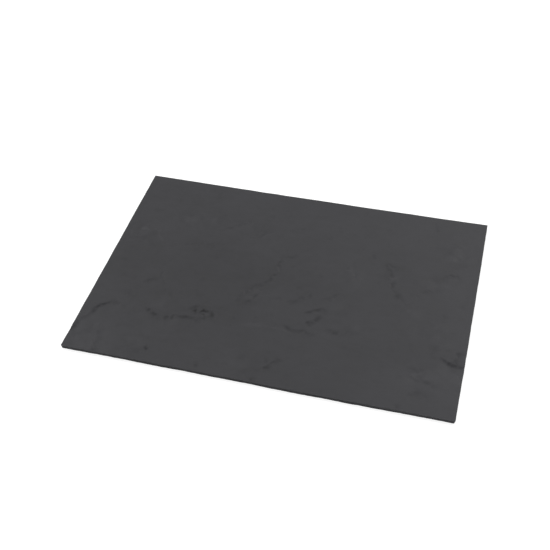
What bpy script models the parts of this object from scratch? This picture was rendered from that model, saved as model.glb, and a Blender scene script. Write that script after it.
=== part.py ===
"""A slate slab for Blender 4.5: one riven sheet of dark slate, lying on its underside.

Lengths are in metres and +Z is up. +X runs along the longer side and +Y away from the viewer. The origin
is the middle of the underside. The slab was split along the slate's cleavage, so each face is almost
level, with low ledges where one lamina breaks off and the next one shows.
"""
import bmesh
import bpy
import numpy as np

MM = 0.001

# The slab
LENGTH = 350 * MM
WIDTH = 245 * MM
THICKNESS = 4.5 * MM

# The sides: sawn nearly straight, then dressed, which left them leaning in towards the underside
UNDERCUT = 0.4 * MM
LAMINA_LENGTH = 9 * MM
LAMINA_FLATTENING = 8
LAMINA_UNEVENNESS = 0.25
SIDE_RAGGEDNESS = 0.22 * MM
TRIMMED_WITHIN = 12 * MM
BACK_HOLLOW = 0.8 * MM
FRONT_BULGE = 0.45 * MM
FRONT_BULGE_AT = 57 * MM
FRONT_BULGE_SPREAD = 45 * MM
RIGHT_CROWN = 0.35 * MM

# The lie of the faces: broad waves, and the sag of the top below its highest lamina
WAVE_HEIGHT = 0.13 * MM
WAVE_SIZES = (95 * MM, 38 * MM)
UNDERSIDE_REST_LEVEL = 0.10 * MM
FLAT_MIDDLE_RADIUS = 40 * MM

# The faceting: cells of the first grid, the border along the sides, and where cells are halved
CELL = 10 * MM
BORDER = 3 * MM
SIDE_LAMINAE = 3
LONG_BORDER_EDGE = 6 * MM
REFINE_WITHIN = (7.0 * MM, 2.8 * MM)
LEVEL_ANGLE = 0.0005

# The ledges of the top face. Each has its course in millimetres, with the low side on the right as it
# is walked, then its drop, the width of its riser and how far the floor below it takes to climb back.
# A ledge dies out over a share of its length at each end.
DYING_OUT = 0.22
TOP_LEDGES = [
    # a lamina broken off at the left side, and the long ragged break that goes on from it
    ([(-177, -102), (-171, -90), (-166, -79), (-161, -69), (-156, -64), (-149, -60), (-141, -60), (-132, -62)],
     0.50, 2.4, 28),
    ([(-128, -56), (-121, -59), (-113, -64), (-104, -68), (-92, -68), (-84, -65), (-76, -62), (-66, -62),
      (-57, -59), (-46, -61)], 0.48, 2.4, 24),
    ([(-80, -60), (-75, -51), (-65, -48), (-57, -50), (-52, -53), (-45, -60)], 0.36, 2.4, 9),
    # the middle left
    ([(-133, -35), (-128, -27), (-123, -21), (-117, -15), (-111, -12)], 0.38, 2.4, 18),
    # the long diagonal across the middle, double at its lower end
    ([(-41, -42), (-38, -32), (-33, -21), (-27, -13), (-18, -5), (-14, 5), (-12, 16), (-11, 25), (-5, 35),
      (6, 42), (22, 46), (38, 48)], 0.40, 2.6, 24),
    ([(-33, -38), (-27, -28), (-21, -19), (-16, -12)], 0.26, 2.6, 10),
    # five short breaks to the right of the middle
    ([(5, -27), (11, -23), (17, -19), (22, -14), (28, -9)], 0.36, 2.2, 12),
    ([(26, -34), (33, -29), (40, -23), (44, -14), (50, -5)], 0.42, 2.2, 13),
    ([(29, -49), (33, -44), (37, -40), (39, -33)], 0.40, 2.2, 9),
    ([(10, -50), (17, -54), (24, -55), (30, -54), (36, -57), (46, -56)], 0.36, 2.2, 14),
    ([(50, -46), (56, -51), (62, -51), (68, -47)], 0.36, 2.2, 9),
    # the fork near the front side
    ([(4, -107), (9, -101), (13, -96), (19, -90)], 0.40, 2.2, 10),
    ([(4, -88), (8, -93), (12, -98)], 0.30, 2.2, 8),
    # the scar that runs out at the right side
    ([(151, -50), (155, -56), (160, -60), (167, -63), (173, -64), (184, -67)], 0.56, 2.0, 20),
    ([(169, -66), (167, -60), (167, -53), (170, -44)], 0.34, 2.0, 10),
    # the upper right, and the long faint fall right of the middle
    ([(138, 36), (144, 41), (150, 44), (158, 48)], 0.34, 2.4, 14),
    ([(118, -8), (111, -1), (104, 7), (100, 14), (95, 24), (93, 34), (89, 48)], 0.28, 4.0, 24),
    ([(118, 9), (126, 15), (134, 23)], 0.22, 2.6, 12),
    ([(124, 116), (127, 108), (129, 99)], 0.16, 2.6, 10),
    # the lower right
    ([(128, -82), (137, -88), (143, -86), (150, -92)], 0.22, 2.6, 12),
    ([(131, -106), (141, -101), (151, -105)], 0.18, 2.6, 12),
    # the front left corner
    ([(-144, -130), (-145, -117), (-147, -107), (-152, -97)], 0.40, 2.4, 12),
    ([(-116, -114), (-110, -110), (-103, -111)], 0.22, 2.4, 10),
    # the upper left
    ([(-80, 59), (-70, 64), (-61, 70), (-53, 77)], 0.34, 2.6, 14),
    ([(-146, 23), (-125, 26), (-110, 29), (-90, 34), (-64, 43)], 0.30, 8.0, 34),
    ([(-164, 51), (-151, 47), (-141, 39), (-133, 31), (-127, 24)], -0.22, 2.8, 14),
    ([(-174, 21), (-161, 27), (-148, 32)], 0.24, 2.8, 12),
    # a long low step that faces the other way, in front of the middle
    ([(26, -61), (10, -58), (-10, -59), (-34, -63)], 0.24, 2.4, 18),
    # the top, near the back side
    ([(-14, 70), (-5, 75), (5, 83)], 0.18, 2.6, 12),
]

# Pits and hummocks of the top face: x and y in millimetres, radius and depth, a hummock's depth negative
TOP_PITS = [
    (-100, -107, 3.0, 0.42), (8, -110, 2.6, 0.26), (-50, -115, 4.2, 0.30), (3, -120, 4.0, 0.30),
    (92, 43, 7.5, 0.24), (58, -51, 5.0, 0.28), (48, -8, 4.6, 0.24), (-66, -53, 7.0, 0.24),
    (-58, -55, 6.5, 0.24), (-3, -22, 4.5, 0.20), (-8, 32, 6.0, 0.20), (-37, 60, 5.5, 0.18),
    (62, 25, 6.0, 0.20), (145, -89, 4.4, 0.22), (-118, 62, 6.0, -0.16), (-163, -104, 8.0, -0.24),
]

# The underside's ledges, seen from above as if through the stone. They lie clear of the flat middle.
UNDERSIDE_LEDGES = [
    ([(-185, 60), (-150, 66), (-118, 84), (-80, 82), (-52, 100), (-44, 135)], 0.45, 1.8, 60),
    ([(185, 22), (140, 8), (118, -22), (96, -34), (88, -70), (104, -96), (98, -135)], 0.50, 1.8, 70),
    ([(-96, -20), (-108, -44), (-92, -66), (-100, -92)], 0.35, 1.6, 30),
    ([(60, 70), (84, 82), (112, 80)], 0.30, 1.6, 26),
]


def smooth_step(value):
    """Rise from 0 to 1 as the value does, level at both ends."""
    value = np.clip(value, 0, 1)
    return value * value * (3 - 2 * value)


def hummocks(x, y, size, seed):
    """Smooth random heights between -1 and 1, with swellings about one size across."""
    count = 64
    lattice = np.random.default_rng(seed).uniform(-1, 1, (count, count))
    column, row = x / size + count / 2, y / size + count / 2
    left, low = np.floor(column).astype(int), np.floor(row).astype(int)
    across, up = smooth_step(column - left), smooth_step(row - low)
    left, low = left % count, low % count
    right, high = (left + 1) % count, (low + 1) % count
    near = lattice[left, low] * (1 - across) + lattice[right, low] * across
    far = lattice[left, high] * (1 - across) + lattice[right, high] * across
    return near * (1 - up) + far * up


def smooth_course(points, steps=8):
    """A smooth curve through a ledge's points, in metres (Catmull-Rom)."""
    points = np.array(points, float) * MM
    padded = np.vstack([2 * points[0] - points[1], points, 2 * points[-1] - points[-2]])
    curve = []
    for before, start, end, after in zip(padded, padded[1:], padded[2:], padded[3:]):
        for t in np.arange(steps) / steps:
            curve.append(0.5 * (2 * start + (end - before) * t
                                + (2 * before - 5 * start + 4 * end - after) * t ** 2
                                + (3 * start - before - 3 * end + after) * t ** 3))
    curve.append(points[-1])
    return np.array(curve)


def across_and_along(x, y, course):
    """Each point's distance from a course, above 0 on its right, and how far along it is, from 0 to 1."""
    starts, runs = course[:-1], np.diff(course, axis=0)
    lengths = np.hypot(*runs.T)
    from_start_x, from_start_y = x[:, None] - starts[:, 0], y[:, None] - starts[:, 1]
    share = np.clip((from_start_x * runs[:, 0] + from_start_y * runs[:, 1]) / lengths ** 2, 0, 1)
    off_x, off_y = from_start_x - share * runs[:, 0], from_start_y - share * runs[:, 1]
    distance = np.hypot(off_x, off_y)
    nearest = np.argmin(distance, axis=1)
    rows = np.arange(len(x))
    turn = off_x[rows, nearest] * runs[nearest, 1] - off_y[rows, nearest] * runs[nearest, 0]
    walked = np.concatenate([[0], np.cumsum(lengths)])
    along = (walked[nearest] + share[rows, nearest] * lengths[nearest]) / walked[-1]
    return np.sign(turn) * distance[rows, nearest], along


def ledge_depth(x, y, ledge):
    """How far one ledge lowers the face: all of its drop below the riser, then less, to nothing."""
    points, drop, riser, floor = ledge
    across, along = across_and_along(x, y, smooth_course(points))
    strength = smooth_step(along / DYING_OUT) * smooth_step((1 - along) / DYING_OUT)
    below = smooth_step(across / (riser * MM) + 0.5)
    climbed = smooth_step((across / MM - riser) / floor)
    return drop * MM * strength * below * (1 - climbed)


def pit_depth(x, y, pit):
    """How far one round pit lowers the face, or a hummock raises it."""
    middle_x, middle_y, radius, depth = pit
    distance = np.hypot(x - middle_x * MM, y - middle_y * MM)
    return depth * MM * smooth_step(1 - distance / (radius * MM))


def waves(x, y, seed):
    """The broad swell of a riven face, between -1 and 1."""
    broad, narrow = WAVE_SIZES
    return 0.7 * hummocks(x, y, broad, seed) + 0.3 * hummocks(x, y, narrow, seed + 1)


def top_height(x, y):
    """The height of the top face above the underside's resting plane."""
    height = THICKNESS - WAVE_HEIGHT + WAVE_HEIGHT * waves(x, y, seed=3)
    for ledge in TOP_LEDGES:
        height -= ledge_depth(x, y, ledge)
    for pit in TOP_PITS:
        height -= pit_depth(x, y, pit)
    return height


def underside_height(x, y):
    """The height of the underside: 0 where the slab rests, and a little more where it is hollow."""
    height = WAVE_HEIGHT * waves(x, y, seed=11) - UNDERSIDE_REST_LEVEL
    for ledge in UNDERSIDE_LEDGES:
        height += ledge_depth(x, y, ledge)
    from_middle = np.hypot(x, y) - FLAT_MIDDLE_RADIUS
    return np.maximum(height, 0) * smooth_step(from_middle / FLAT_MIDDLE_RADIUS)


def side_shortfalls(x, y):
    """How far the left, right, front and back sides run inside the plain rectangle, at each point."""
    half_length, half_width = LENGTH / 2, WIDTH / 2
    long_teeth, short_teeth = hummocks(x, y, 14 * MM, seed=21), hummocks(x, y, 5 * MM, seed=22)
    ragged = SIDE_RAGGEDNESS * (1 + 0.6 * long_teeth + 0.4 * short_teeth)
    front_swell = np.exp(-((x - FRONT_BULGE_AT) / FRONT_BULGE_SPREAD) ** 2)
    left = ragged
    right = ragged + RIGHT_CROWN * (y / half_width) ** 2
    front = ragged + FRONT_BULGE * (1 - front_swell)
    back = ragged + BACK_HOLLOW * (1 - (x / half_length) ** 2)
    return left, right, front, back


def slab_grid():
    """A cube scaled to the slab, bordered along its sides and cut into cells, finer at the ledges."""
    bm = bmesh.new()
    bmesh.ops.create_cube(bm, size=1)
    bmesh.ops.scale(bm, vec=(LENGTH, WIDTH, THICKNESS), verts=bm.verts)
    bmesh.ops.translate(bm, vec=(0, 0, THICKNESS / 2), verts=bm.verts)
    level = [face for face in bm.faces if abs(face.normal.z) > 0.5]
    bmesh.ops.inset_individual(bm, faces=level, thickness=BORDER, use_even_offset=True)

    for axis, cuts in ((0, round(LENGTH / CELL)), (1, round(WIDTH / CELL)), (2, SIDE_LAMINAE)):
        lengthwise = []
        for edge in bm.edges:
            run = edge.verts[1].co - edge.verts[0].co
            if abs(run[axis]) > 0.99 * run.length:
                lengthwise.append(edge)
        bmesh.ops.subdivide_edges(bm, edges=lengthwise, cuts=cuts - 1, use_grid_fill=True)

    borders = [edge for edge in bm.edges if edge.calc_length() > LONG_BORDER_EDGE
               and all(in_border(vertex.co) for vertex in edge.verts)]
    bmesh.ops.subdivide_edges(bm, edges=borders, cuts=1, use_grid_fill=True)
    for reach in REFINE_WITHIN:
        bmesh.ops.subdivide_edges(bm, edges=edges_near_detail(bm, reach), cuts=1, use_grid_fill=True)
    return bm


def merge_level_cells(bm):
    """Merge the cells of the underside that lie in its resting plane."""
    resting = [vertex for vertex in bm.verts if vertex.co.z == 0]
    edges = [edge for edge in bm.edges if all(vertex.co.z == 0 for vertex in edge.verts)]
    bmesh.ops.dissolve_limit(bm, angle_limit=LEVEL_ANGLE, verts=resting, edges=edges)


def in_border(point):
    """Whether a point of the plain box lies on a side face or in the border beside it."""
    inner_length, inner_width = LENGTH / 2 - BORDER, WIDTH / 2 - BORDER
    slack = 0.1 * MM
    return abs(point.x) > inner_length - slack or abs(point.y) > inner_width - slack


def edges_near_detail(bm, reach):
    """The edges of the top face whose middle is within reach of a ledge or in a pit."""
    edges = [edge for edge in bm.edges if all(vertex.co.z > THICKNESS - MM for vertex in edge.verts)]
    middles = np.array([(edge.verts[0].co + edge.verts[1].co) / 2 for edge in edges])
    x, y = middles[:, 0], middles[:, 1]
    near = np.zeros(len(edges), bool)
    for points, *_ in TOP_LEDGES:
        across, _ = across_and_along(x, y, smooth_course(points))
        near |= np.abs(across) < reach
    for middle_x, middle_y, radius, _ in TOP_PITS:
        near |= np.hypot(x - middle_x * MM, y - middle_y * MM) < radius * MM + reach / 4
    return [edge for edge, close in zip(edges, near) if close]


def carve(bm):
    """Move the plain grid's vertices onto the riven faces and the dressed sides."""
    vertices = list(bm.verts)
    box = np.array([vertex.co for vertex in vertices])
    x, y, z = box.T
    depth = 1 - z / THICKNESS
    top = top_height(x, y)
    underside = underside_height(x, y)

    left, right, front, back = side_shortfalls(x, y)
    laminae = hummocks(x + LAMINA_FLATTENING * z, y + LAMINA_FLATTENING * z, LAMINA_LENGTH, seed=31)
    lean = UNDERCUT * depth * (1 + LAMINA_UNEVENNESS * laminae)
    new_x = x + (left + lean) * smooth_step(1 - (LENGTH / 2 + x) / TRIMMED_WITHIN)
    new_x -= (right + lean) * smooth_step(1 - (LENGTH / 2 - x) / TRIMMED_WITHIN)
    new_y = y + (front + lean) * smooth_step(1 - (WIDTH / 2 + y) / TRIMMED_WITHIN)
    new_y -= (back + lean) * smooth_step(1 - (WIDTH / 2 - y) / TRIMMED_WITHIN)
    new_z = underside + (top - underside) * (1 - depth)
    for vertex, place in zip(vertices, np.column_stack([new_x, new_y, new_z])):
        vertex.co = place


def slate_material():
    """Matt dark grey slate, very slightly blue."""
    material = bpy.data.materials.new("slate")
    material.use_nodes = True
    shader = material.node_tree.nodes["Principled BSDF"]
    shader.inputs["Base Color"].default_value = (0.065, 0.065, 0.069, 1)
    shader.inputs["Roughness"].default_value = 0.62
    shader.inputs["Metallic"].default_value = 0
    return material


for old in list(bpy.data.objects):
    bpy.data.objects.remove(old)

bm = slab_grid()
carve(bm)
merge_level_cells(bm)
bmesh.ops.triangulate(bm, faces=bm.faces, quad_method="BEAUTY", ngon_method="BEAUTY")
bmesh.ops.recalc_face_normals(bm, faces=bm.faces)
mesh = bpy.data.meshes.new("slate_slab")
bm.to_mesh(mesh)
bm.free()
mesh.materials.append(slate_material())

slab = bpy.data.objects.new("slate_slab", mesh)
collection = bpy.data.collections.new("slate slab")
bpy.context.scene.collection.children.link(collection)
collection.objects.link(slab)
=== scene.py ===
"""A slate slab lying flat in a plain pale studio: the looks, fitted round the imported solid.

Lengths are in metres, +Z is up, +X runs along the slab's longer side and the origin is the middle of its
underside, as in the frame.
"""
import math

import bmesh
import bpy
import numpy as np
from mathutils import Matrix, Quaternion, Vector


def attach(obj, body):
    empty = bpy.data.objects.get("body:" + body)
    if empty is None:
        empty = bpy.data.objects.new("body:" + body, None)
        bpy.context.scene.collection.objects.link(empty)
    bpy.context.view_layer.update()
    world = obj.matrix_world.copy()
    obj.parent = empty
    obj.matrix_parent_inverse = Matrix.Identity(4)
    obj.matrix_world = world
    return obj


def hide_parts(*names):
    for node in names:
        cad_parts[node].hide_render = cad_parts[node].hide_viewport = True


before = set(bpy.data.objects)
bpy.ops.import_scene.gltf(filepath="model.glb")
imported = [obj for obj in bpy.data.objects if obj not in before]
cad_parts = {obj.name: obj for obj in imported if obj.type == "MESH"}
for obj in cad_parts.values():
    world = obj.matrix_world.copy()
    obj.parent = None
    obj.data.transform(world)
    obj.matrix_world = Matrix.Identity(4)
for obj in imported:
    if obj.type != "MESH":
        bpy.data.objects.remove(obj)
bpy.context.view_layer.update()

# The camera. It stands in front of the slab and a little to its right, and looks down at it at about
# 45 degrees, through a short telephoto lens, with the slight lean of a hand-levelled tripod.
AIM = Vector((-0.0122, 0.0070, 0.0043))
CAMERA_AZIMUTH = math.radians(16.72)
CAMERA_ELEVATION = math.radians(44.99)
CAMERA_ROLL = math.radians(-2.41)
CAMERA_DISTANCE = 0.8937
LENS_MM = 61.85


def direction(azimuth, elevation):
    """The direction from the slab towards an azimuth, 0 in front of it, and an elevation."""
    level = math.cos(elevation)
    return Vector((math.sin(azimuth) * level, -math.cos(azimuth) * level, math.sin(elevation)))


camera = bpy.data.objects.new("camera", bpy.data.cameras.new("camera"))
bpy.context.scene.collection.objects.link(camera)
towards_camera = direction(CAMERA_AZIMUTH, CAMERA_ELEVATION)
camera.location = AIM + towards_camera * CAMERA_DISTANCE
camera.rotation_mode = "QUATERNION"
levelled = (-towards_camera).to_track_quat("-Z", "Y")
camera.rotation_quaternion = levelled @ Quaternion((0, 0, 1), CAMERA_ROLL)
camera.data.lens = LENS_MM
camera.data.sensor_width = 36
camera.data.clip_start = 0.01
camera.data.clip_end = 20
bpy.context.scene.camera = camera

# The studio. A wide white floor with a low wall, both glowing a little, a large softbox high behind the
# slab's left, a weaker one behind its right, and the even light of white walls all round.
FLOOR_SIZE = 14.0
LOW_WALL = 1.2
FLOOR_WHITE = 0.35
FLOOR_ROUGHNESS = 0.9
FLOOR_SHEEN = 0.1
FLOOR_GLOW = 0.85
WALL_LIGHT = 0.22
SOFTBOXES = [
    ("softbox left", math.radians(250), math.radians(50), 6.0, (3.6, 3.6), 200.0),
    ("softbox right", math.radians(156), math.radians(46), 6.0, (3.6, 2.4), 172.0),
]

bpy.context.scene.view_settings.view_transform = "Standard"
bpy.context.scene.view_settings.look = "None"

world = bpy.data.worlds.new("white walls")
bpy.context.scene.world = world
world.use_nodes = True
world.node_tree.nodes["Background"].inputs["Color"].default_value = (1, 1, 1, 1)
world.node_tree.nodes["Background"].inputs["Strength"].default_value = WALL_LIGHT

for name, azimuth, elevation, distance, (width, height), power in SOFTBOXES:
    softbox = bpy.data.objects.new(name, bpy.data.lights.new(name, "AREA"))
    bpy.context.scene.collection.objects.link(softbox)
    softbox.data.shape = "RECTANGLE"
    softbox.data.size = width
    softbox.data.size_y = height
    softbox.data.energy = power
    towards_softbox = direction(azimuth, elevation)
    softbox.location = towards_softbox * distance
    softbox.rotation_mode = "QUATERNION"
    softbox.rotation_quaternion = towards_softbox.to_track_quat("Z", "Y")

floor_bm = bmesh.new()
bmesh.ops.create_grid(floor_bm, x_segments=1, y_segments=1, size=FLOOR_SIZE / 2)
raised = bmesh.ops.extrude_edge_only(floor_bm, edges=floor_bm.edges)["geom"]
wall_top = [part for part in raised if isinstance(part, bmesh.types.BMVert)]
bmesh.ops.translate(floor_bm, vec=(0, 0, LOW_WALL), verts=wall_top)
floor_mesh = bpy.data.meshes.new("floor")
floor_bm.to_mesh(floor_mesh)
floor_bm.free()
floor = bpy.data.objects.new("floor", floor_mesh)
bpy.context.scene.collection.objects.link(floor)
floor_paint = bpy.data.materials.new("white floor")
floor_paint.use_nodes = True
floor_shader = floor_paint.node_tree.nodes["Principled BSDF"]
floor_shader.inputs["Base Color"].default_value = (FLOOR_WHITE, FLOOR_WHITE, FLOOR_WHITE, 1)
floor_shader.inputs["Roughness"].default_value = FLOOR_ROUGHNESS
floor_shader.inputs["Specular IOR Level"].default_value = FLOOR_SHEEN
floor_shader.inputs["Emission Color"].default_value = (1, 1, 1, 1)
floor_shader.inputs["Emission Strength"].default_value = FLOOR_GLOW
floor_mesh.materials.append(floor_paint)

# The slab's outline and sides. Slate is sawn to a rectangle and its sides are then dressed from above,
# which breaks them off lamina by lamina, so that they lean in towards the underside.
MM = 0.001
LENGTH = 350 * MM
WIDTH = 245 * MM
THICKNESS = 4.5 * MM

UNDERCUT = 0.4 * MM
LEAN_SIZE = 30 * MM
LEAN_UNEVENNESS = 0.35
SIDE_LAMINAE = 9
LAMINA_LENGTH = 7 * MM
CHIP_LENGTH = 2.4 * MM
LAMINA_STEP = 0.24 * MM
SIDE_RAGGEDNESS = 0.22 * MM
TOOTH_LENGTHS = (14 * MM, 5 * MM)
TRIMMED_WITHIN = 12 * MM
BACK_HOLLOW = 0.8 * MM
FRONT_BULGE = 0.45 * MM
FRONT_BULGE_AT = 57 * MM
FRONT_BULGE_SPREAD = 45 * MM
RIGHT_CROWN = 0.35 * MM


def smooth_step(value):
    """Rise from 0 to 1 as the value does, level at both ends."""
    value = np.clip(value, 0, 1)
    return value * value * (3 - 2 * value)


def hummocks(x, y, size, seed):
    """Smooth random heights between -1 and 1, with swellings about one size across."""
    count = 64
    lattice = np.random.default_rng(seed).uniform(-1, 1, (count, count))
    column, row = x / size + count / 2, y / size + count / 2
    left, low = np.floor(column).astype(int), np.floor(row).astype(int)
    across, up = smooth_step(column - left), smooth_step(row - low)
    left, low = left % count, low % count
    right, high = (left + 1) % count, (low + 1) % count
    near = lattice[left, low] * (1 - across) + lattice[right, low] * across
    far = lattice[left, high] * (1 - across) + lattice[right, high] * across
    return near * (1 - up) + far * up


def side_shortfalls(x, y):
    """How far the left, right, front and back sides run inside the plain rectangle, at each point."""
    half_length, half_width = LENGTH / 2, WIDTH / 2
    long_tooth, short_tooth = TOOTH_LENGTHS
    teeth = 0.6 * hummocks(x, y, long_tooth, seed=21) + 0.4 * hummocks(x, y, short_tooth, seed=22)
    ragged = SIDE_RAGGEDNESS * (1 + teeth)
    front_swell = np.exp(-((x - FRONT_BULGE_AT) / FRONT_BULGE_SPREAD) ** 2)
    left = ragged
    right = ragged + RIGHT_CROWN * (y / half_width) ** 2
    front = ragged + FRONT_BULGE * (1 - front_swell)
    back = ragged + BACK_HOLLOW * (1 - (x / half_length) ** 2)
    return left, right, front, back


def side_lean(x, y, z):
    """How far the side at a height stands in from the top's rim: a lean, and a step at each lamina."""
    depth = 1 - z / THICKNESS
    lamina = np.round(depth * SIDE_LAMINAE)
    steps = np.zeros_like(x)
    for number in range(SIDE_LAMINAE + 1):
        own_steps = 0.6 * hummocks(x, y, LAMINA_LENGTH, seed=40 + number)
        own_steps += 0.4 * hummocks(x, y, CHIP_LENGTH, seed=140 + number)
        steps = np.where(lamina == number, own_steps, steps)
    lean = UNDERCUT * depth * (1 + LEAN_UNEVENNESS * hummocks(x, y, LEAN_SIZE, seed=31))
    below_rim = smooth_step(depth * 4)
    return lean + LAMINA_STEP * (1 + steps) * below_rim


# The top face. Slate splits along its cleavage, and the split jumps from one lamina to the next: low
# ragged ledges, a few flakes sprung off at the sides, small pits, and broad, almost level planes.
WAVE_HEIGHT = 0.13 * MM
WAVE_SIZES = (95 * MM, 38 * MM)
DYING_OUT = 0.22
WANDERINGS = [(11 * MM, 1.6 * MM), (4.5 * MM, 1.1 * MM), (2 * MM, 0.5 * MM)]

# Each ledge has its course in millimetres, with the low side on the right as it is walked, then its drop,
# the width of its riser, how far the floor below it takes to climb back, and how raw it is, which also
# sets how much shade is painted along it. A drop below 0 is a low ridge, and a rawness below 0 a painted
# highlight.
TOP_LEDGES = [
    # a lamina broken off at the left side, and the long ragged break that goes on from it
    ([(-190, -122), (-184, -113), (-177, -102), (-171, -90), (-166, -79), (-161, -69), (-156, -64),
      (-149, -60), (-141, -60), (-132, -62)], 0.46, 2.6, 28, 0.34),
    ([(-128, -56), (-121, -59), (-113, -64), (-104, -68), (-92, -68), (-84, -65), (-76, -62), (-66, -62),
      (-57, -59), (-46, -61)], 0.42, 3.0, 24, 0.27),
    ([(-80, -60), (-75, -51), (-65, -48), (-57, -50), (-52, -53), (-45, -60)], 0.26, 4.4, 9, 0.16),
    # the middle left
    ([(-133, -35), (-128, -27), (-123, -21), (-117, -15), (-111, -12)], 0.38, 3.2, 18, 0.18),
    ([(-112, -20), (-110, -30), (-107, -40)], -0.14, 3.0, 12, 0.08),
    # the long diagonal across the middle, double at its lower end
    ([(-41, -42), (-38, -32), (-33, -21), (-27, -13), (-18, -5), (-14, 5), (-12, 16), (-11, 25), (-6, 33),
      (0, 39), (8, 43)], 0.34, 3.4, 24, 0.18),
    ([(-33, -38), (-27, -28), (-21, -19), (-16, -12)], 0.26, 3.2, 10, 0.22),
    # short breaks to the right of the middle
    ([(5, -27), (11, -23), (17, -19), (22, -14), (28, -9)], 0.36, 2.8, 12, 0.26),
    ([(25, -35), (31, -30), (37, -27), (42, -22)], 0.36, 3.0, 13, 0.27),
    ([(29, -49), (33, -44), (37, -40), (39, -33)], 0.40, 3.0, 9, 0.34),
    ([(10, -50), (17, -54), (24, -55), (30, -54), (36, -57), (46, -56)], 0.30, 3.0, 14, 0.22),
    ([(50, -46), (56, -51), (62, -51), (68, -47)], 0.24, 3.0, 9, 0.10),
    # the fork near the front side
    ([(4, -107), (9, -101), (13, -96), (19, -90)], 0.32, 2.6, 10, 0.17),
    ([(4, -88), (8, -93), (12, -98)], 0.20, 3.0, 8, 0.09),
    # the scar that runs out at the right side
    ([(153, -54), (156, -58), (161, -61), (167, -63), (173, -64), (184, -67)], 0.44, 2.4, 18, 0.25),
    ([(169, -66), (167, -60), (167, -53), (170, -44)], 0.34, 2.4, 10, 0.22),
    # the upper right, and the long faint fall right of the middle
    ([(138, 36), (144, 41), (150, 44), (158, 48)], 0.28, 2.8, 14, 0.17),
    ([(118, -8), (111, -1), (104, 7), (100, 14), (95, 24), (93, 34), (89, 48)], 0.22, 4.5, 24, 0.09),
    ([(100, 10), (97, 20), (94, 30), (90, 44)], 0.08, 4.0, 10, 0.11),
    ([(118, 9), (126, 15), (134, 23)], 0.20, 3.2, 12, 0.06),
    ([(124, 116), (127, 108), (129, 99)], 0.16, 3.0, 10, 0.06),
    # the lower right
    ([(128, -82), (137, -88), (143, -86), (150, -92)], 0.14, 3.2, 12, 0.06),
    ([(131, -106), (141, -101), (151, -105)], 0.12, 3.2, 12, 0.06),
    # the front left corner
    ([(-144, -130), (-145, -117), (-147, -107), (-152, -97)], 0.40, 2.8, 12, 0.18),
    ([(-116, -114), (-110, -110), (-103, -111)], 0.22, 3.0, 10, 0.14),
    # the upper left
    ([(-80, 59), (-70, 64), (-61, 70), (-53, 77)], 0.28, 3.8, 14, 0.12),
    ([(-146, 23), (-125, 26), (-110, 29), (-90, 34), (-64, 43)], 0.30, 9.0, 34, 0.04),
    ([(-164, 51), (-151, 47), (-141, 39), (-133, 31), (-127, 24)], -0.22, 3.0, 14, -0.12),
    ([(-174, 21), (-161, 27), (-148, 32)], 0.24, 3.4, 12, 0.06),
    # a long low step that faces the other way, in front of the middle
    ([(26, -61), (10, -58), (-10, -59), (-34, -63)], 0.24, 2.6, 18, -0.10),
    # the top, near the back side
    ([(-14, 70), (-5, 75), (5, 83)], 0.18, 3.2, 12, 0.06),
]

# How uneven a ledge's drop is, and the broken stone along it: a rough strip a little below the riser,
# painted darker as shade, in lumps of two sizes, gathered in clumps
UNEVENNESS_SIZE = 6 * MM
DROP_UNEVENNESS = 0.75
CRUMBLE_REACH = 2.3 * MM
CRUMBLE_MIDDLE = 0.4 * CRUMBLE_REACH
CRUMBLE_SIZES = (3.8 * MM, 1.9 * MM)
CRUMBLE_SHARE = 0.55
CLUMP_SIZE = 9 * MM
CLUMPS = (0.95, 1.1, 0.45)

# How raw the dressed sides are, which also paints them darker as shade, and the lightest that a painted
# highlight can be
SIDE_RAWNESS_AND_PAINTED_SHADE = 0.75
LIGHTEST_PAINTED_HIGHLIGHT = -0.5

# Broad patches where the top's colour is made lighter or darker: the middle, half length and half width
# of each in millimetres, and how much lighter it is. Each fades out round its edge.
BROAD_TONE_PATCHES = [
    (-85, -8, 92, 48, -0.6), (5, -50, 120, 62, -0.2), (178, -10, 30, 135, 0.85), (-5, 128, 175, 48, 0.55),
    (-170, -108, 32, 28, 0.8), (100, 10, 60, 70, 0.2), (150, -105, 60, 40, 0.7),
]
BROAD_TONE_RAGGEDNESS = 0.25
BROAD_TONE_EDGE_SIZE = 26 * MM
BROAD_TONE_EDGE = (0.65, 1.35)
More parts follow.
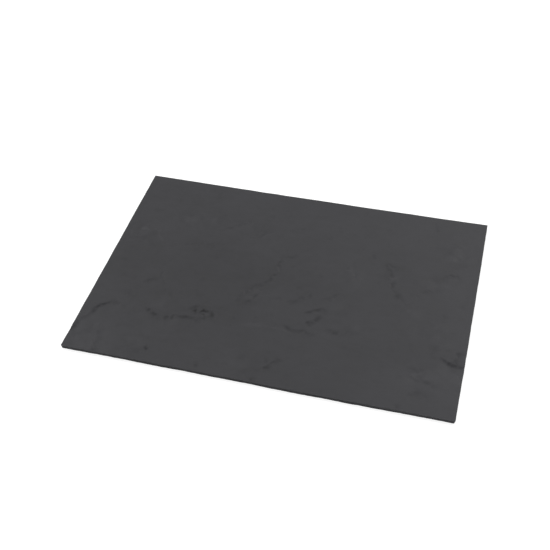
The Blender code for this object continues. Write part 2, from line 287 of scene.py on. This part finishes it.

# Pits and hummocks: x and y in millimetres, radius, depth, a hummock's depth negative, and rawness, which
# also paints shade in a pit and a highlight on a hummock
TOP_PITS = [
    (-100, -106, 3.8, 0.42, 0.55), (8, -110, 2.6, 0.26, 0.12), (-50, -115, 4.6, 0.30, 0.42),
    (3, -120, 4.4, 0.30, 0.36), (126, -118, 3.4, 0.16, 0.26), (92, 43, 8.0, 0.24, 0.34),
    (105, 6, 6.0, 0.16, 0.16), (98, 24, 5.0, 0.14, 0.14),
    (58, -51, 5.4, 0.26, 0.38), (48, -8, 4.6, 0.24, 0.20), (43, -13, 4.4, 0.24, 0.20),
    (-65, -54, 10.5, 0.24, 0.30), (-57, -55, 8.5, 0.20, 0.28), (-71, -57, 5.0, 0.20, 0.24),
    (-70, -54, 3.4, 0.16, 0.30), (-63, -52, 3.6, 0.16, 0.32), (-57, -51, 3.2, 0.16, 0.28),
    (-62, -58, 3.2, 0.16, 0.26), (-53, -56, 3.4, 0.16, 0.28),
    (-3, -22, 4.5, 0.20, 0.16), (-139, -46, 6.5, 0.14, 0.10), (-26, -24, 5.0, 0.18, 0.14),
    (-8, 31, 7.0, 0.22, 0.26), (-37, 60, 5.5, 0.18, 0.14), (-44, 56, 4.0, 0.18, 0.12),
    (-35, 85, 5.0, 0.16, 0.10), (62, 25, 6.0, 0.20, 0.14), (65, 20, 4.6, 0.18, 0.10),
    (53, 30, 3.6, 0.14, 0.08), (-98, 70, 4.0, 0.14, 0.20), (-38, 57, 4.4, 0.14, 0.22),
    (30, 16, 4.6, 0.16, 0.10), (165, 5, 4.2, 0.16, 0.06), (150, -9, 4.0, 0.16, 0.06),
    (76, 52, 5.0, 0.16, 0.10),
    (145, -89, 4.4, 0.22, 0.14), (136, -79, 4.4, 0.18, 0.12), (-118, 62, 6.0, -0.16, -0.12),
    (-90, 71, 6.0, -0.12, -0.10), (-163, -104, 8.0, -0.24, -0.14), (-156, 40, 6.0, -0.14, -0.10),
    (-139, 39, 5.0, -0.12, -0.10), (-108, 52, 5.0, -0.12, -0.08), (-166, 33, 5.0, -0.12, -0.10),
    (172, -80, 9.0, -0.16, -0.12), (150, 84, 6.0, -0.12, -0.10), (147, 98, 6.0, -0.10, -0.08),
    (152, 66, 6.0, -0.12, -0.08), (-150, -92, 6.0, -0.14, -0.08),
]

# Patches where the face is a little rough all over, painted lighter on its standing lumps and darker
# where stone came away, as light and shade: x and y in millimetres, radius and height
ROUGH_PATCHES = [
    (-118, 66, 24, 0.26), (-152, 38, 28, 0.34), (-88, 68, 22, 0.22), (-60, 66, 20, 0.24),
    (-36, 62, 20, 0.26), (142, -86, 26, 0.32), (152, -50, 20, 0.16), (-160, -106, 26, 0.34),
    (-108, -108, 20, 0.28), (150, 72, 28, 0.26), (134, 28, 22, 0.28), (96, 34, 18, 0.24),
    (-28, -26, 20, 0.28), (50, -22, 24, 0.26), (60, 22, 22, 0.24), (-12, -106, 24, 0.24),
    (72, -46, 18, 0.22), (120, -10, 20, 0.24), (-96, -64, 30, 0.28), (140, -30, 30, 0.18),
]
PATCH_SIZES = (7 * MM, 4 * MM)
PATCH_PAINTED_LIGHT_AND_SHADE = 0.65

# Thin laminae that ended all over the face, each a film thick, and the finest unevenness: size and height
TERRACE_LEVELS = 9
TERRACE_DROP = 0.035 * MM
TERRACE_SIZE = 60 * MM
TERRACE_EDGE = 0.10
GRAIN = [(7 * MM, 0.020 * MM), (2.6 * MM, 0.010 * MM)]


def smooth_course(points, steps=8):
    """A smooth curve through a ledge's points, in metres (Catmull-Rom)."""
    points = np.array(points, float) * MM
    padded = np.vstack([2 * points[0] - points[1], points, 2 * points[-1] - points[-2]])
    curve = []
    for before, start, end, after in zip(padded, padded[1:], padded[2:], padded[3:]):
        for t in np.arange(steps) / steps:
            curve.append(0.5 * (2 * start + (end - before) * t
                                + (2 * before - 5 * start + 4 * end - after) * t ** 2
                                + (3 * start - before - 3 * end + after) * t ** 3))
    curve.append(points[-1])
    return np.array(curve)


def across_and_along(x, y, course):
    """Each point's distance from a course, above 0 on its right, and how far along it is, from 0 to 1."""
    starts, runs = course[:-1], np.diff(course, axis=0)
    lengths = np.hypot(*runs.T)
    walked = np.concatenate([[0], np.cumsum(lengths)])
    nearest, across, along = np.full(len(x), np.inf), np.zeros(len(x)), np.zeros(len(x))
    for start, run, length, so_far in zip(starts, runs, lengths, walked):
        from_x, from_y = x - start[0], y - start[1]
        share = np.clip((from_x * run[0] + from_y * run[1]) / length ** 2, 0, 1)
        off_x, off_y = from_x - share * run[0], from_y - share * run[1]
        distance = np.hypot(off_x, off_y)
        closer = distance < nearest
        nearest = np.where(closer, distance, nearest)
        right_hand = np.sign(off_x * run[1] - off_y * run[0])
        across = np.where(closer, right_hand * distance, across)
        along = np.where(closer, (so_far + share * length) / walked[-1], along)
    return across, along


def wandered(x, y):
    """The points moved a little, so that what is drawn through them has a ragged edge."""
    shift_x, shift_y = np.zeros_like(x), np.zeros_like(y)
    for number, (size, reach) in enumerate(WANDERINGS):
        shift_x += reach * hummocks(x, y, size, seed=60 + number)
        shift_y += reach * hummocks(x, y, size, seed=70 + number)
    return x + shift_x, y + shift_y


def points_near(x, y, course, reach):
    """Which points lie within reach of the box round a course."""
    low, high = course.min(axis=0) - reach, course.max(axis=0) + reach
    return (x > low[0]) & (x < high[0]) & (y > low[1]) & (y < high[1])


def lumps(x, y, sizes):
    """Lumps of two sizes, above 0 where stone is left standing and below where it came away."""
    coarse, fine = sizes
    return hummocks(x, y, coarse, seed=51) + 0.6 * hummocks(x, y, fine, seed=52)


def dying_out(along):
    """A ledge's strength along its course: full in the middle, and nothing at both ends."""
    return smooth_step(along / DYING_OUT) * smooth_step((1 - along) / DYING_OUT)


def broken_strip(across, along):
    """How strongly the stone is broken at each place along and across a ledge, from 0 to 1."""
    return dying_out(along) * np.exp(-((across - CRUMBLE_MIDDLE) / CRUMBLE_REACH) ** 2)


def ledge_depth(x, y, ledge):
    """How far one ledge lowers the face: all of its drop below the riser, then less, to nothing."""
    points, drop, riser, floor, _ = ledge
    depth = np.zeros_like(x)
    course = smooth_course(points)
    near = points_near(x, y, course, (riser + floor) * MM)
    x, y = x[near], y[near]
    across, along = across_and_along(x, y, course)
    strength = dying_out(along) * (1 + DROP_UNEVENNESS * hummocks(x, y, UNEVENNESS_SIZE, seed=50))
    below = smooth_step(across / (riser * MM) + 0.5)
    climbed = smooth_step((across / MM - riser) / floor)
    crumbled = CRUMBLE_SHARE * lumps(x, y, CRUMBLE_SIZES) * broken_strip(across, along)
    depth[near] = drop * MM * (strength * below * (1 - climbed) + crumbled)
    return depth


def round_patches(x, y, patches):
    """The sum of round patches, each as high as its last value in the middle and level at its rim."""
    height = np.zeros_like(x)
    for middle_x, middle_y, radius, highest in patches:
        reach = radius * MM
        near = np.flatnonzero((np.abs(x - middle_x * MM) < reach) & (np.abs(y - middle_y * MM) < reach))
        distance = np.hypot(x[near] - middle_x * MM, y[near] - middle_y * MM)
        height[near] += highest * smooth_step(1 - distance / reach)
    return height


def rawness_and_painted_shading(x, y, ledges, pits, patches):
    """How raw the stone is and how much shade is painted on it: 0 on a smooth split, up to 1 where it is
    broken and painted darkest, below 0 where a highlight is painted.
    """
    raw_and_shaded_pits = [(pit_x, pit_y, radius, raw_and_shading_here) for pit_x, pit_y, radius, _, raw_and_shading_here in pits]
    raw = round_patches(x, y, raw_and_shaded_pits)
    for points, _, _, _, raw_and_shading_here in ledges:
        course = smooth_course(points)
        near = points_near(x, y, course, 3 * CRUMBLE_REACH)
        strip = raw_and_shading_here * broken_strip(*across_and_along(x[near], y[near], course))
        raw[near] = np.maximum(raw[near], strip) if raw_and_shading_here > 0 else raw[near] + strip
    level, lumpy, gathered = CLUMPS
    clumps = level + lumpy * lumps(x, y, CRUMBLE_SIZES) + gathered * hummocks(x, y, CLUMP_SIZE, seed=56)
    # Painted light on the standing lumps of the rough patches, and painted shade where stone came away
    painted_lump_light_and_shade = PATCH_PAINTED_LIGHT_AND_SHADE * round_patches(x, y, patches) * lumps(x, y, PATCH_SIZES)
    return np.clip(raw * np.maximum(clumps, 0) - painted_lump_light_and_shade, LIGHTEST_PAINTED_HIGHLIGHT, 1)


def broad_tone(x, y):
    """How much lighter the colour is made at each place by the broad patches, above 0 where it is lighter
    than the rest.
    """
    shade = np.zeros_like(x)
    edge = 1 + BROAD_TONE_RAGGEDNESS * hummocks(x, y, BROAD_TONE_EDGE_SIZE, seed=54)
    full, nothing = BROAD_TONE_EDGE
    for middle_x, middle_y, half_length, half_width, light in BROAD_TONE_PATCHES:
        away = np.hypot((x / MM - middle_x) / half_length, (y / MM - middle_y) / half_width) * edge
        shade += light * smooth_step((nothing - away) / (nothing - full))
    return shade


def waves(x, y, seed):
    """The broad swell of a riven face, between -1 and 1."""
    broad, narrow = WAVE_SIZES
    return 0.7 * hummocks(x, y, broad, seed) + 0.3 * hummocks(x, y, narrow, seed + 1)


def terraces(x, y, seed):
    """Thin laminae ending one after another, as the contour steps of a smooth random hill."""
    hill = hummocks(x, y, TERRACE_SIZE, seed) + 0.5 * hummocks(x, y, TERRACE_SIZE / 2, seed + 1)
    hill += 0.12 * hummocks(x, y, TERRACE_SIZE / 8, seed + 2)
    level = (hill / 3 + 0.5) * TERRACE_LEVELS
    return np.floor(level) + smooth_step((level - np.floor(level)) / TERRACE_EDGE)


def top_height(x, y):
    """The height of the top face above the underside's resting plane."""
    height = THICKNESS - WAVE_HEIGHT + WAVE_HEIGHT * waves(x, y, seed=3)
    ragged_x, ragged_y = wandered(x, y)
    for ledge in TOP_LEDGES:
        height -= ledge_depth(ragged_x, ragged_y, ledge)
    height -= MM * round_patches(ragged_x, ragged_y, [pit[:4] for pit in TOP_PITS])
    height += MM * round_patches(x, y, ROUGH_PATCHES) * lumps(x, y, PATCH_SIZES)
    height -= TERRACE_DROP * terraces(ragged_x, ragged_y, seed=80) / 2
    for number, (size, rise) in enumerate(GRAIN):
        height += rise * hummocks(x, y, size, seed=90 + number)
    return height


# The underside. It is the same split turned over: it rests on its level high spots, and is hollow
# where a lamina came away from below.
UNDERSIDE_REST_LEVEL = 0.10 * MM
FLAT_MIDDLE_RADIUS = 40 * MM
UNDERSIDE_LEDGES = [
    ([(-185, 60), (-150, 66), (-118, 84), (-80, 82), (-52, 100), (-44, 135)], 0.45, 2.2, 60, 0.25),
    ([(185, 22), (140, 8), (118, -22), (96, -34), (88, -70), (104, -96), (98, -135)], 0.50, 2.2, 70, 0.3),
    ([(-96, -20), (-108, -44), (-92, -66), (-100, -92)], 0.35, 2.0, 30, 0.25),
    ([(60, 70), (84, 82), (112, 80)], 0.30, 2.0, 26, 0.2),
]


def underside_height(x, y):
    """The height of the underside: 0 where the slab rests, and a little more where it is hollow."""
    height = WAVE_HEIGHT * waves(x, y, seed=11) - UNDERSIDE_REST_LEVEL
    ragged_x, ragged_y = wandered(x, y)
    for ledge in UNDERSIDE_LEDGES:
        height += ledge_depth(ragged_x, ragged_y, ledge)
    from_middle = np.hypot(x, y) - FLAT_MIDDLE_RADIUS
    return np.maximum(height, 0) * smooth_step(from_middle / FLAT_MIDDLE_RADIUS)


# The stone itself. One solid piece of slate: a block cut into cells, finer along the sides and at the
# ledges, whose points are then moved onto the riven faces and the dressed sides.
CELL = 3 * MM
BORDER = 3 * MM
BORDER_CELL = 1.6 * MM
SIDE_CELL = 0.9 * MM
SLACK = 0.1 * MM
REFINE_WITHIN = (5.5 * MM, 3.0 * MM)
REFINE_UNDERSIDE_WITHIN = 3.0 * MM
SHARP_ANGLE = math.radians(40)


def in_border(point, border):
    """Whether a point of the plain box lies on a side face or in a border beside it."""
    border += SLACK
    return abs(point.x) > LENGTH / 2 - border or abs(point.y) > WIDTH / 2 - border


def edges_near_ledges(bm, level, ledges, pits, reach):
    """The edges of the face at a level whose middle is within reach of a ledge or in a pit."""
    edges = [edge for edge in bm.edges
             if all(abs(vertex.co.z - level) < SLACK for vertex in edge.verts)]
    middles = np.array([(edge.verts[0].co + edge.verts[1].co) / 2 for edge in edges])
    x, y = wandered(middles[:, 0], middles[:, 1])
    near = np.zeros(len(edges), bool)
    for points, *_ in ledges:
        across, _ = across_and_along(x, y, smooth_course(points))
        near |= np.abs(across) < reach
    for middle_x, middle_y, radius, *_ in pits:
        near |= np.hypot(x - middle_x * MM, y - middle_y * MM) < radius * MM + reach / 4
    return [edge for edge, close in zip(edges, near) if close]


def slab_grid():
    """A cube scaled to the slab, bordered along its sides and cut into cells, finer at the ledges."""
    bm = bmesh.new()
    bmesh.ops.create_cube(bm, size=1)
    bmesh.ops.scale(bm, vec=(LENGTH, WIDTH, THICKNESS), verts=bm.verts)
    bmesh.ops.translate(bm, vec=(0, 0, THICKNESS / 2), verts=bm.verts)
    level = [face for face in bm.faces if abs(face.normal.z) > 0.5]
    bmesh.ops.inset_individual(bm, faces=level, thickness=BORDER, use_even_offset=True)
    for axis, cuts in ((0, round(LENGTH / CELL)), (1, round(WIDTH / CELL)), (2, SIDE_LAMINAE)):
        lengthwise = []
        for edge in bm.edges:
            run = edge.verts[1].co - edge.verts[0].co
            if abs(run[axis]) > 0.99 * run.length:
                lengthwise.append(edge)
        bmesh.ops.subdivide_edges(bm, edges=lengthwise, cuts=cuts - 1, use_grid_fill=True)
    for border, longest in ((BORDER, BORDER_CELL), (0, SIDE_CELL)):
        edges = [edge for edge in bm.edges if edge.calc_length() > longest
                 and all(in_border(vertex.co, border) for vertex in edge.verts)]
        bmesh.ops.subdivide_edges(bm, edges=edges, cuts=1, use_grid_fill=True)
    for reach in REFINE_WITHIN:
        edges = edges_near_ledges(bm, THICKNESS, TOP_LEDGES, TOP_PITS, reach)
        bmesh.ops.subdivide_edges(bm, edges=edges, cuts=1, use_grid_fill=True)
    edges = edges_near_ledges(bm, 0, UNDERSIDE_LEDGES, [], REFINE_UNDERSIDE_WITHIN)
    bmesh.ops.subdivide_edges(bm, edges=edges, cuts=1, use_grid_fill=True)
    return bm


def carve(bm):
    """Move the plain grid's vertices onto the riven faces and the dressed sides."""
    box = np.array([vertex.co for vertex in bm.verts])
    x, y, z = box.T
    share = z / THICKNESS
    left, right, front, back = side_shortfalls(x, y)
    lean = side_lean(x, y, z)
    new_x = x + (left + lean) * smooth_step(1 - (LENGTH / 2 + x) / TRIMMED_WITHIN)
    new_x -= (right + lean) * smooth_step(1 - (LENGTH / 2 - x) / TRIMMED_WITHIN)
    new_y = y + (front + lean) * smooth_step(1 - (WIDTH / 2 + y) / TRIMMED_WITHIN)
    new_y -= (back + lean) * smooth_step(1 - (WIDTH / 2 - y) / TRIMMED_WITHIN)
    underside = underside_height(x, y)
    new_z = underside + (top_height(x, y) - underside) * share
    # The raw stone value also holds painted shade along the ledges and in the pits, and painted
    # highlights where it is below 0
    raw = np.where(share > 0.99, rawness_and_painted_shading(*wandered(x, y), TOP_LEDGES, TOP_PITS, ROUGH_PATCHES), 0)
    raw = np.where(share < 0.01, rawness_and_painted_shading(*wandered(x, y), UNDERSIDE_LEDGES, [], []), raw)
    # The dressed sides are rougher and painted darker as shade
    raw = np.where((share > 0.05) & (share < 0.95), SIDE_RAWNESS_AND_PAINTED_SHADE, raw)
    raw_and_shading_layer = bm.verts.layers.float.new("raw stone and painted shading")
    broad_tone_layer = bm.verts.layers.float.new("broad tone")
    places = np.column_stack([new_x, new_y, new_z])
    for vertex, place, raw_and_shading_here, shade in zip(bm.verts, places, raw, broad_tone(x, y)):
        vertex.co = place
        vertex[raw_and_shading_layer] = raw_and_shading_here
        vertex[broad_tone_layer] = shade


bm = slab_grid()
carve(bm)
bmesh.ops.triangulate(bm, faces=bm.faces, quad_method="BEAUTY", ngon_method="BEAUTY")
bmesh.ops.recalc_face_normals(bm, faces=bm.faces)
slab_mesh = bpy.data.meshes.new("riven_slab")
bm.to_mesh(slab_mesh)
bm.free()
slab_mesh.shade_smooth()
slab_mesh.set_sharp_from_angle(angle=SHARP_ANGLE)
slab = bpy.data.objects.new("riven_slab", slab_mesh)
bpy.context.scene.collection.objects.link(slab)

# The slate. A fine-grained dark grey stone with a faint blue cast, cloudy from lamina to lamina, with a
# silky sheen from its mica and a fine grain drawn out along one direction. Raw stone is rougher, and its
# colour carries painted shade: darker along the ledges, in the pits and on the sides, lighter where a
# highlight is painted.
GRAIN_DIRECTION = math.radians(24)
DRAWN_OUT = 1.8
CLOUD_SIZE = 55 * MM
STREAK_SIZE = 7 * MM
SPECK_SIZE = 1.1 * MM
STREAK_SHARE = 0.62
SPECK_SHARE = 0.25
SLATE_DARK = (0.0218, 0.0217, 0.0247, 1)
SLATE_LIGHT = (0.0334, 0.0333, 0.0378, 1)
# The next colour is the one that the painted shade darkens the stone towards
SLATE_IN_PAINTED_SHADE = (0.009, 0.009, 0.0101, 1)
DARK_AT = 0.3
LIGHT_AT = 0.7
# The next value is how much the painted shade darkens the colour, and a painted highlight lightens it
PAINTED_SHADING_STRENGTH = 0.42
BROAD_TONE_STRENGTH = 0.12
ROUGHNESS_RANGE = (0.5, 0.74)
RAW_ROUGHNESS = 0.26
SLATE_SHEEN = 0.4
SMUDGE_SIZE = 7.5 * MM
SMUDGE_FROM = 0.56
SMUDGE_TO = 0.80
SMUDGE_SHADE = 0.12
SPLINTER_SIZE = 0.7 * MM
FILM_SIZE = 3.2 * MM
FILM_SHARE = 0.6
GRAIN_HEIGHT = 0.12 * MM
GRAIN_STRENGTH = 0.7

slate = bpy.data.materials.new("slate")
slate.use_nodes = True
nodes, links = slate.node_tree.nodes, slate.node_tree.links
shader = nodes["Principled BSDF"]
shader.inputs["Specular IOR Level"].default_value = SLATE_SHEEN
place = nodes.new("ShaderNodeTexCoord")


def mottle(size, detail, along_grain=1.0):
    """Smooth random patches about one size across, drawn out along the stone's grain."""
    turned = nodes.new("ShaderNodeMapping")
    turned.inputs["Rotation"].default_value = (0, 0, GRAIN_DIRECTION)
    turned.inputs["Scale"].default_value = (1 / along_grain, 1, 1)
    links.new(place.outputs["Object"], turned.inputs["Vector"])
    noise = nodes.new("ShaderNodeTexNoise")
    noise.inputs["Scale"].default_value = 1 / size
    noise.inputs["Detail"].default_value = detail
    links.new(turned.outputs["Vector"], noise.inputs["Vector"])
    return noise.outputs["Fac"]


def between(value, low, high):
    """A value from 0 to 1 stretched to run from low to high."""
    stretch = nodes.new("ShaderNodeMapRange")
    stretch.clamp = False
    stretch.inputs["To Min"].default_value = low
    stretch.inputs["To Max"].default_value = high
    links.new(value, stretch.inputs["Value"])
    return stretch.outputs["Result"]


def mixed(first, second, share):
    """A blend of two values, the second's share given."""
    mix = nodes.new("ShaderNodeMix")
    mix.inputs["Factor"].default_value = share
    links.new(first, mix.inputs["A"])
    links.new(second, mix.inputs["B"])
    return mix.outputs["Result"]


def worked(operation, first, second):
    """Two values added, or the second taken from the first."""
    step = nodes.new("ShaderNodeMath")
    step.operation = operation
    links.new(first, step.inputs[0])
    links.new(second, step.inputs[1])
    return step.outputs["Value"]


def written(name):
    """A value that the mesh carries at each vertex."""
    attribute = nodes.new("ShaderNodeAttribute")
    attribute.attribute_name = name
    return attribute.outputs["Fac"]


clouds = mottle(CLOUD_SIZE, detail=2)
streaks = mottle(STREAK_SIZE, detail=3, along_grain=DRAWN_OUT)
specks = mottle(SPECK_SIZE, detail=2)
smudges = nodes.new("ShaderNodeMapRange")
smudges.inputs["From Min"].default_value = SMUDGE_FROM
smudges.inputs["From Max"].default_value = SMUDGE_TO
smudges.inputs["To Max"].default_value = SMUDGE_SHADE
links.new(mottle(SMUDGE_SIZE, detail=2), smudges.inputs["Value"])
raw_stone_and_painted_shading = written("raw stone and painted shading")

tone = mixed(mixed(clouds, streaks, STREAK_SHARE), specks, SPECK_SHARE)
# The broad patches make the colour lighter or darker
tone = worked("ADD", tone, between(written("broad tone"), 0, BROAD_TONE_STRENGTH))
# Painted shade: the colour darkens along the ledges, in the pits and on the dressed sides, and lightens
# where a highlight is painted; painted light and shade on the rough patches too
tone = worked("SUBTRACT", tone, between(raw_stone_and_painted_shading, 0, PAINTED_SHADING_STRENGTH))
tone = worked("SUBTRACT", tone, smudges.outputs["Result"])

colour = nodes.new("ShaderNodeValToRGB")
stops = colour.color_ramp.elements
stops[0].position = 0
stops[0].color = SLATE_IN_PAINTED_SHADE
stops[1].position = LIGHT_AT
stops[1].color = SLATE_LIGHT
stops.new(DARK_AT).color = SLATE_DARK
links.new(tone, colour.inputs["Fac"])
links.new(colour.outputs["Color"], shader.inputs["Base Color"])

roughness = between(mixed(streaks, specks, 0.5), *ROUGHNESS_RANGE)
roughness = worked("ADD", roughness, between(raw_stone_and_painted_shading, 0, RAW_ROUGHNESS))
links.new(roughness, shader.inputs["Roughness"])

fine_grain = nodes.new("ShaderNodeBump")
fine_grain.inputs["Distance"].default_value = GRAIN_HEIGHT
fine_grain.inputs["Strength"].default_value = GRAIN_STRENGTH
splinters = mottle(SPLINTER_SIZE, detail=3, along_grain=DRAWN_OUT)
films = mottle(FILM_SIZE, detail=3, along_grain=DRAWN_OUT)
links.new(mixed(splinters, films, FILM_SHARE), fine_grain.inputs["Height"])
links.new(fine_grain.outputs["Normal"], shader.inputs["Normal"])
slab_mesh.materials.append(slate)

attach(slab, "root")
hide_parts("slate_slab")

bpy.context.view_layer.update()
